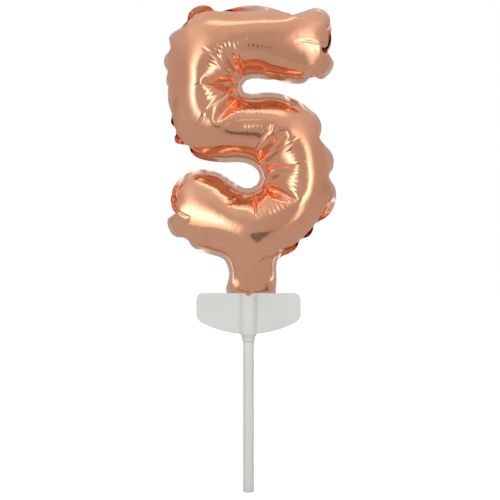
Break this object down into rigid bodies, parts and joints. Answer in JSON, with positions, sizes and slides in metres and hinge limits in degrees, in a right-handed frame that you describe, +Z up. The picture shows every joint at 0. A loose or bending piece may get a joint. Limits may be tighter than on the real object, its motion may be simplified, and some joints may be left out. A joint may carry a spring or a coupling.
{
  "type": "foil number balloon on stick",
  "caption": "Small air-filled foil balloon shaped as the digit five, gripped by its neck in a winged plastic holder on a hollow stick that pushes into a cake.",
  "frame": {"origin": "centre of the stick's lower end, on the stick's axis", "axes": "+Z up along the stick towards the digit, front of the digit towards -Y, +X to the right as the digit is read"},
  "size_m": [0.0764, 0.0276, 0.2199],
  "materials": {
    "rose_gold_foil": "polished",
    "valve_film": "gloss",
    "white_plastic": "satin",
    "adhesive": "matte"
  },
  "bodies": {
    "stick": {"stick": "white_plastic"},
    "holder": {"holder_front": "white_plastic", "holder_back": "white_plastic", "front_adhesive": "adhesive", "back_adhesive": "adhesive", "front_foil_tail": "rose_gold_foil", "back_foil_tail": "rose_gold_foil"},
    "balloon": {"front_foil": "rose_gold_foil", "back_foil": "rose_gold_foil", "valve_front_film": "valve_film", "valve_back_film": "valve_film"}
  },
  "joints": [
    {"name": "holder_slide", "type": "slide", "parent": "stick", "child": "holder", "axis": [0, 0, 1], "range_m": [0, 0.0126]},
    {"name": "balloon_nod", "type": "hinge", "parent": "holder", "child": "balloon", "pos_m": [0.0017, 0, 0.0912], "axis": [1, 0, 0], "range_deg": [-12, 12], "stiffness_Nm_per_rad": 0.004}
  ]
}
